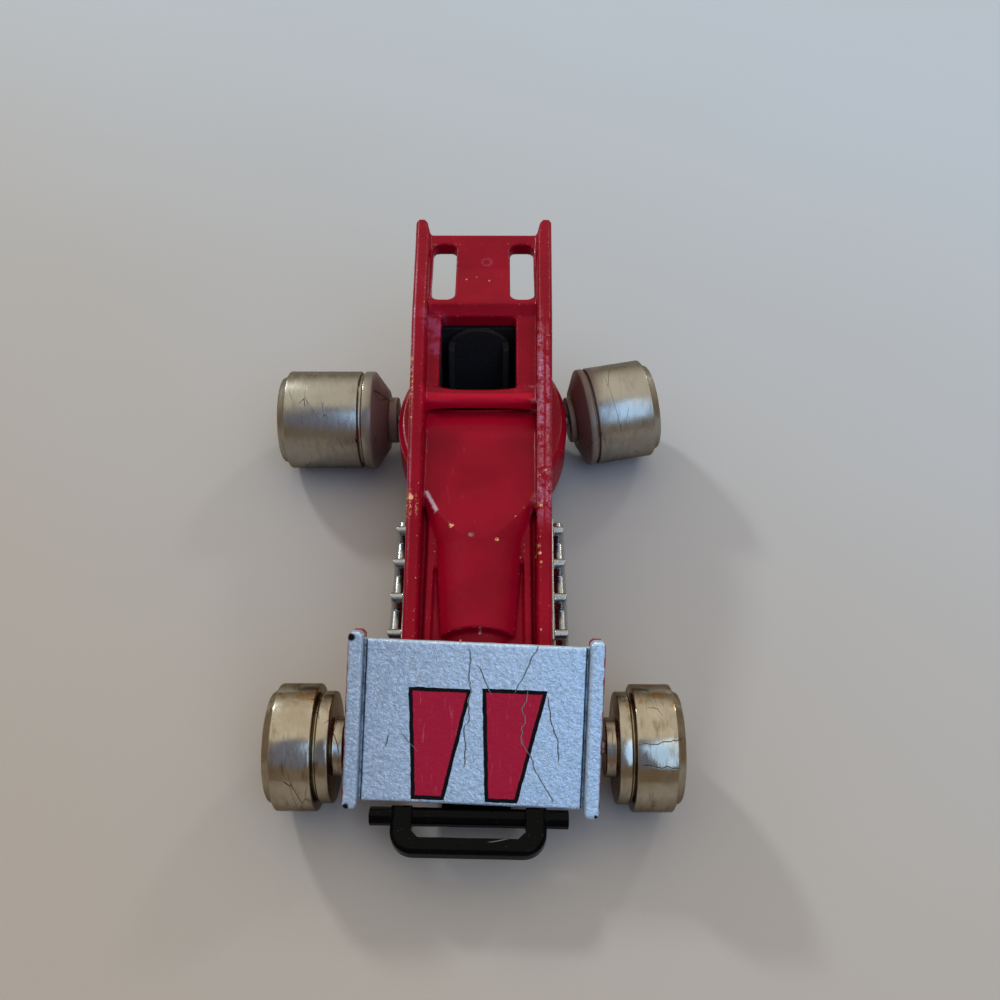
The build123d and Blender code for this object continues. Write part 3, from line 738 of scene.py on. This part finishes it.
def silverBase(desk, place, grain):
    # Silver with a painted reflection of the window: palest at one lower corner and shaded away from
    # it, with a coarse grain of dark and white specks
    look = silverSettings
    x, y = desk.split(place)[:2]
    clouds = desk.noise(place, look["cloudScale"], 4)
    way = desk.math("MULTIPLY_ADD", y, look["paleSlant"], x)
    way = desk.math("MULTIPLY_ADD", clouds, look["cloudShift"], way)
    colour = desk.mix(desk.step(way, *look["shadeToSilver"]), look["shade"], look["silver"])
    colour = desk.mix(desk.step(way, *look["silverToPale"]), colour, look["paleSilver"])
    colour = desk.paint(colour, look["speck"], desk.step(grain, 0.53, 0.63), 0.6)
    return desk.paint(colour, look["white"], desk.step(grain, 0.48, 0.38), 0.75)


def barMasks(desk, place, face):
    # Masks of the printed bars as a whole, and of the crimson inside their outlines
    x, y = desk.split(place)[:2]
    outline = silverSettings["outline"]
    soft = silverSettings["outlineSoftness"]
    wobble = desk.noise(place, silverSettings["wobbleScale"], 2)
    wobble = desk.math("MULTIPLY_ADD", wobble, 0.16, -0.08)
    inside = desk.either(*[desk.shape(x, y, corners) for corners in barShapes])
    inside = desk.math("ADD", inside, wobble)
    printed = desk.both(desk.step(inside, -0.02, 0.02), face)
    return printed, desk.step(inside, outline - soft, outline + soft)


def bareRed(desk, place):
    # Red shows on the plates' outer sides, on the back and in nicks along the lower edge
    look = silverSettings
    x, y, z = desk.split(place)
    outer = wingSettings["halfSpan"] + wingSettings["plateWidth"]
    ragged = desk.math("MULTIPLY_ADD", desk.noise(place, look["raggedScale"], 3), 0.5, -0.25)
    side = desk.math("ADD", desk.math("ABSOLUTE", x), ragged)
    side = desk.step(side, *[outer - depth for depth in look["bareSide"]])
    nicks = desk.step(desk.noise(place, look["nickScale"], 3), 0.56, 0.62)
    nicks = desk.both(desk.step(y, *look["nickRise"]), nicks, 0.35)
    return desk.either(side, desk.step(z, *look["backFrom"]), nicks)


def makeSilver():
    look = silverSettings
    half = wingSettings["halfSpan"]
    chord = wingSettings["halfChord"]
    centre = carMiddle + Vector(wingSettings["middle"]) * mm
    desk = materialDesk("silverEnamel")
    place = desk.place(centre, wingTurn())
    x, y, z = desk.split(place)
    face = desk.step(z, *look["faceRise"])
    grain = desk.noise(place, look["grainScale"], 3, 0.75)
    colour = silverBase(desk, place, grain)
    # Printed bars, worn through by cracks and scratches
    printed, crimson = barMasks(desk, place, face)
    colour = desk.mix(printed, colour, desk.mix(crimson, look["ink"], look["crimson"]))
    cracks = desk.both(desk.wavyLines(x, y, crackRows, look["crackWidth"]), face)
    colour = desk.paint(colour, look["crack"], cracks, 0.55)
    colour = desk.paint(colour, look["white"], cracks, printed, 0.8)
    combed = desk.place(centre, wingTurn(), look["scuffStretch"])
    scuffs = desk.step(desk.noise(combed, look["scuffScale"], 4, 0.75), 0.60, 0.68)
    colour = desk.paint(colour, look["scuff"], scuffs, crimson, printed, 0.30)
    # Painted shade in the grooves beside the end plates, with a painted glint along each
    reach = desk.math("ABSOLUTE", x)
    deep, shallow, soft = look["grooveWidth"]
    groove = desk.both(desk.band(reach, half - deep, half - shallow, soft), face)
    colour = desk.paint(colour, look["ink"], groove, desk.band(y, -chord, chord, 0.1), 0.92)
    width, soft = look["glintWidth"]
    glint = desk.both(desk.band(reach, half, half + width, soft), face)
    colour = desk.paint(colour, look["white"], glint, desk.step(grain, 0.60, 0.40), 0.5)
    bare = bareRed(desk, place)
    colour = desk.mix(bare, colour, look["red"])
    colour = desk.mix(desk.spots(x, y, cornerChips), colour, look["ink"])
    silvered = desk.math("SUBTRACT", 1.0, desk.either(bare, printed))
    lift = desk.math("MULTIPLY_ADD", grain, 0.7, desk.noise(place, look["peelScale"], 3, 0.6))
    lift = desk.math("MULTIPLY_ADD", cracks, -2.0, lift)
    lift = desk.math("MULTIPLY_ADD", printed, 0.25, lift)
    return desk.finish(
        Base_Color=colour,
        Metallic=desk.both(silvered, 0.65),
        Roughness=desk.step(grain, 0.3, 0.7, *look["roughness"]),
        Specular_IOR_Level=desk.step(printed, 0.0, 1.0, 0.25, 0.06),
        Normal=desk.bump(lift, look["liftHeight"], 1.0),
    )


def makeWing():
    wing = mouldedCopy("front_wing", "frontWingShell", wingSettings)
    roughen(wing, wingSettings)
    finishPiece(wing, makeSilver(), "silver_enamel", "car", "front_wing")


# Plated wheels, spun from their profiles

# The shares are of the radius, from the lip around the outer face to the dish in it
wheelSettings = {
    "radius": 5.5,
    "boreRadius": 0.61,
    "lipShare": 0.92,
    "rimShare": 0.86,
    "dishShare": 0.76,
    "dishDepth": 1.3,
    "corner": 0.16,
    "cornerSegments": 3,
    "spinSteps": 112,
    "mergeDistance": 0.001,
    "smoothAngle": 40,
}

# Rows of (distance outwards from the inner hub face, share of the radius)
frontInner = [
    (0, 0.47), (0.95, 0.47), (0.95, 0.88), (2.05, 0.88), (2.05, 0.80), (2.3, 0.80), (2.3, 1.0),
]
rearInner = [
    (0, 0.47), (1.0, 0.47), (1.0, 0.60), (2.6, 1.0), (3.7, 1.0), (3.7, 0.92), (4.1, 0.92),
    (4.1, 1.0),
]
shortShare = 0.65
shortInner = [(shortShare * x, share) for x, share in rearInner]

# Rows of (body, rows of the inner side, width, lip width, way outwards, gap at the hub)
wheelRows = [
    ("front_left", frontInner, 6.5, 0.7, 1, 0.0),
    ("front_right", frontInner, 6.5, 0.7, -1, 0.0),
    ("rear_left", shortInner, 9.7, 0.8, 1, 0.2),
    ("rear_right", rearInner, 13.0, 0.8, -1, 0.0),
]

platingSettings = {
    "plating": (0.37, 0.315, 0.235, 1),
    "pale": (0.46, 0.41, 0.33, 1),
    "stain": (0.17, 0.125, 0.065, 1),
    "edgeTint": (0.50, 0.45, 0.37, 1),
    "innerShade": (0.150, 0.090, 0.068, 1),
    "gold": (0.36, 0.19, 0.07, 1),
    "dullPlating": (0.340, 0.325, 0.300, 1),
    "black": (0.010, 0.009, 0.008, 1),
    "rearFrom": (30.0, 34.0),
    "goldFrom": (0.6, 1.6),
    "frontEnd": (8.0, 7.0),
    "innerSide": (13.6, 11.6),
    "crackTop": (7.5, 8.0),
    "crackAngle": 62.0,
    "crackWidth": 0.07,
    "crackRows": [(-1.6, 0.14, 13.6, 17.4, 0.7), (-0.2, -0.08, 14.0, 17.0, 0.7)],
    "cloudScale": 0.30,
    "fineScale": 4.0,
    "smearScale": 0.9,
    "smearStretch": (0.6, 2.2, 2.2),
    "goldScale": 0.8,
    "splitScale": 0.30,
    "splitWidth": 0.012,
    "roughness": (0.11, 0.26),
    "liftHeight": 0.012,
}


def spinWheel(name, rows, width, lip):
    radius = wheelSettings["radius"]
    bore = wheelSettings["boreRadius"]
    dish = width - wheelSettings["dishDepth"]
    outerRows = [
        (width - lip, 1.0),
        (width - lip, wheelSettings["lipShare"]),
        (width, wheelSettings["rimShare"]),
        (width, wheelSettings["dishShare"]),
        (dish, wheelSettings["dishShare"]),
    ]
    profile = [(x, share * radius) for x, share in rows + outerRows]
    corners = [(x * mm, 0, r * mm) for x, r in [(0, bore)] + profile + [(dish, bore)]]
    count = len(corners)
    edges = [(number, (number + 1) % count) for number in range(count)]
    mesh = bpy.data.meshes.new(name)
    mesh.from_pydata(corners, edges, [])
    wheel = bpy.data.objects.new(name, mesh)
    bpy.context.scene.collection.objects.link(wheel)
    pickOnly(wheel)
    bpy.ops.object.mode_set(mode="EDIT")
    bpy.ops.mesh.select_all(action="SELECT")
    bpy.ops.mesh.bevel(
        affect="VERTICES",
        offset=wheelSettings["corner"] * mm,
        segments=wheelSettings["cornerSegments"],
        clamp_overlap=True,
    )
    bpy.ops.mesh.select_all(action="SELECT")
    steps = wheelSettings["spinSteps"]
    bpy.ops.mesh.spin(steps=steps, angle=math.tau, center=(0, 0, 0), axis=(1, 0, 0))
    bpy.ops.object.mode_set(mode="OBJECT")
    cleanMesh(wheel, wheelSettings["mergeDistance"])
    return wheel


def longCracks(desk, place):
    # Cracks across the plating of the front wheel on the car's left, about an angle up its round
    look = platingSettings
    x, y, z = desk.split(place)
    angle = math.radians(look["crackAngle"])
    slope = desk.math("MULTIPLY", y, math.sin(angle))
    slope = desk.math("MULTIPLY_ADD", z, math.cos(angle), slope)
    slope = desk.math("SUBTRACT", slope, wheelSettings["radius"] * math.cos(angle))
    lines = desk.wavyLines(slope, x, look["crackRows"], look["crackWidth"])
    return desk.both(lines, desk.step(z, *look["crackTop"]), desk.step(y, *look["frontEnd"]))


def makePlating():
    look = platingSettings
    desk = materialDesk("plating")
    place = desk.place(carMiddle)
    x, y = desk.split(place)[:2]
    clouds = desk.noise(place, look["cloudScale"], 4, 0.6)
    fine = desk.noise(place, look["fineScale"], 4, 0.6)
    # Tarnish in patches, drawn out around the wheel
    combed = desk.place(carMiddle, (0, 0, 0), look["smearStretch"])
    smears = desk.noise(combed, look["smearScale"], 4, 0.65)
    colour = desk.mix(desk.step(clouds, 0.35, 0.65), look["plating"], look["pale"])
    colour = desk.paint(colour, look["stain"], desk.step(smears, 0.50, 0.75), 0.8)
    # Golden stains on the front pair
    gold = desk.step(desk.noise(place, look["goldScale"], 3), 0.54, 0.62)
    gold = desk.both(gold, desk.step(y, *look["goldFrom"]), desk.step(y, *look["frontEnd"]))
    colour = desk.paint(colour, look["gold"], gold, 0.65)
    # The rear pair is duller, and painted shade darkens the sides turned to the body
    rear = desk.step(y, *look["rearFrom"])
    colour = desk.paint(colour, look["dullPlating"], rear, 0.6)
    inner = desk.step(desk.math("ABSOLUTE", x), *look["innerSide"])
    inner = desk.both(inner, desk.math("MULTIPLY_ADD", rear, 0.75, 0.25))
    colour = desk.paint(colour, look["innerShade"], inner, 0.85)
    splits = desk.cracks(combed, look["splitScale"], look["splitWidth"])
    splits = desk.both(splits, desk.step(clouds, 0.50, 0.62))
    splits = desk.either(splits, longCracks(desk, place))
    colour = desk.mix(splits, colour, look["black"])
    roughness = desk.step(smears, 0.35, 0.70, *look["roughness"])
    dullness = desk.either(inner, desk.both(rear, 0.4))
    lift = desk.math("MULTIPLY_ADD", splits, -1.0, fine)
    lift = desk.math("MULTIPLY_ADD", smears, 2.0, lift)
    return desk.finish(
        Base_Color=colour,
        Metallic=desk.math("MULTIPLY_ADD", desk.both(inner, rear), -0.75, 1.0),
        Specular_Tint=look["edgeTint"],
        Roughness=desk.math("MULTIPLY_ADD", dullness, 0.3, roughness),
        Normal=desk.bump(lift, look["liftHeight"], 0.45),
    )


def makeWheels():
    plating = makePlating()
    for body, rows, width, lip, way, gap in wheelRows:
        node = body + "_wheel"
        wheel = spinWheel(node + "Shell", rows, width, lip)
        joint = jointOf[body + "_roll"]
        axis = Vector(joint["axis"]).normalized() * way
        start = Vector(joint["pos_m"]) + axis * gap * mm
        turn = Vector((1, 0, 0)).rotation_difference(axis).to_matrix().to_4x4()
        wheel.data.transform(Matrix.Translation(start) @ turn)
        shadeSmooth(wheel, wheelSettings["smoothAngle"])
        finishPiece(wheel, plating, "plated_wheels", body, node)
        print(wheel.name, "spun")


# Plastic and small metal pieces

smallSettings = {
    "bumper": {"voxel": 0.08, "smoothing": 2, "keepShare": 0.6},
    "headers": {"voxel": 0.06, "smoothing": 3, "keepShare": 0.5},
    "seat": {"voxel": 0.10, "smoothing": 3, "keepShare": 0.5},
    "edge": 0.09,
}

plasticSettings = {
    "black": (0.0012, 0.0012, 0.0014, 1),
    "dullBlack": (0.0024, 0.0024, 0.0025, 1),
    # Lighter blacks for the seat and tub: painted light in the dim cockpit
    "seatLitBlack": (0.0120, 0.0115, 0.0130, 1),
    "seatLitDull": (0.0200, 0.0190, 0.0200, 1),
    "fleck": (0.30, 0.30, 0.29, 1),
    "roughness": (0.08, 0.20),
    "seatRoughness": (0.35, 0.5),
    "fineScale": 3.0,
    "fleckScale": 6.0,
    "scratchFront": 8.4,
    "scratchBow": 0.05,
    "scratchWidth": 0.06,
    "scratchSpan": (1.2, 3.6, 0.3),
    "liftHeight": 0.03,
}

metalSettings = {
    "chrome": (0.40, 0.40, 0.39, 1),
    "steel": (0.50, 0.46, 0.42, 1),
    "chromeRoughness": (0.16, 0.32),
    "steelRoughness": (0.25, 0.42),
    "darkShare": 0.55,
    "fineScale": 3.5,
    "liftHeight": 0.01,
}


def makeBlackPlastic(name, black, dullBlack, roughness):
    look = plasticSettings
    desk = materialDesk(name)
    place = desk.place(carMiddle)
    x, y = desk.split(place)[:2]
    fine = desk.noise(place, look["fineScale"], 3)
    flecks = desk.step(desk.noise(place, look["fleckScale"], 3, 0.7), 0.70, 0.74)
    colour = desk.paint(desk.mix(fine, black, dullBlack), look["fleck"], flecks, 0.6)
    # A curved scratch over the bumper's front loop
    bow = desk.math("MULTIPLY", desk.math("MULTIPLY", x, x), look["scratchBow"])
    gap = desk.math("SUBTRACT", desk.math("ADD", y, look["scratchFront"]), bow)
    scratch = desk.step(desk.math("ABSOLUTE", gap), 0.0, look["scratchWidth"], 1.0, 0.0)
    colour = desk.paint(colour, look["fleck"], scratch, desk.band(x, *look["scratchSpan"]), 0.6)
    return desk.finish(
        Base_Color=colour,
        Roughness=desk.step(fine, 0.3, 0.7, *roughness),
        Specular_IOR_Level=0.06,
        Normal=desk.bump(fine, look["liftHeight"], 0.6),
    )


def makeMetal(name, colour, roughness):
    desk = materialDesk(name)
    fine = desk.noise(desk.place(carMiddle), metalSettings["fineScale"], 4, 0.6)
    dark = [metalSettings["darkShare"] * share for share in colour[:3]] + [1]
    return desk.finish(
        Base_Color=desk.mix(desk.step(fine, 0.45, 0.8), colour, dark),
        Metallic=1.0,
        Roughness=desk.step(fine, 0.3, 0.7, *roughness),
        Normal=desk.bump(fine, metalSettings["liftHeight"], 0.5),
    )


def makeSmallPieces():
    look = plasticSettings
    black = makeBlackPlastic("blackPlastic", look["black"], look["dullBlack"], look["roughness"])
    # The seat and tub get a lighter copy of the black plastic: painted light where little light
    # reaches the cockpit
    dull = makeBlackPlastic("seatLitPlastic", look["seatLitBlack"], look["seatLitDull"], look["seatRoughness"])
    chrome = makeMetal("headerChrome", metalSettings["chrome"], metalSettings["chromeRoughness"])
    steel = makeMetal("axleSteel", metalSettings["steel"], metalSettings["steelRoughness"])
    cast = [
        ("front_bumper", "frontBumperShell", "bumper", black, "black_plastic"),
        ("headers_left", "headersShell_left", "headers", chrome, "plated_headers"),
        ("headers_right", "headersShell_right", "headers", chrome, "plated_headers"),
        ("seat", "seatShell", "seat", dull, "black_plastic"),
    ]
    for node, name, kind, material, slot in cast:
        piece = mouldedCopy(node, name, smallSettings[kind])
        finishPiece(piece, material, slot, "car", node)
    bevelled = [
        ("chassis_base", "chassisBaseShell", black, "black_plastic"),
        ("cockpit_tub", "cockpitTubShell", dull, "black_plastic"),
        ("front_axle", "frontAxleShell", steel, "axle_steel"),
        ("rear_axle", "rearAxleShell", steel, "axle_steel"),
    ]
    for node, name, material, slot in bevelled:
        piece = bevelledCopy(node, name, smallSettings["edge"])
        finishPiece(piece, material, slot, "car", node)


makeCamera()
makeFloor()
makeLamps()
makeRoom()
print("stage ready")
makeBody()
makeWing()
print("body and wing ready")
makeWheels()
makeSmallPieces()
print("wheels and small pieces ready")
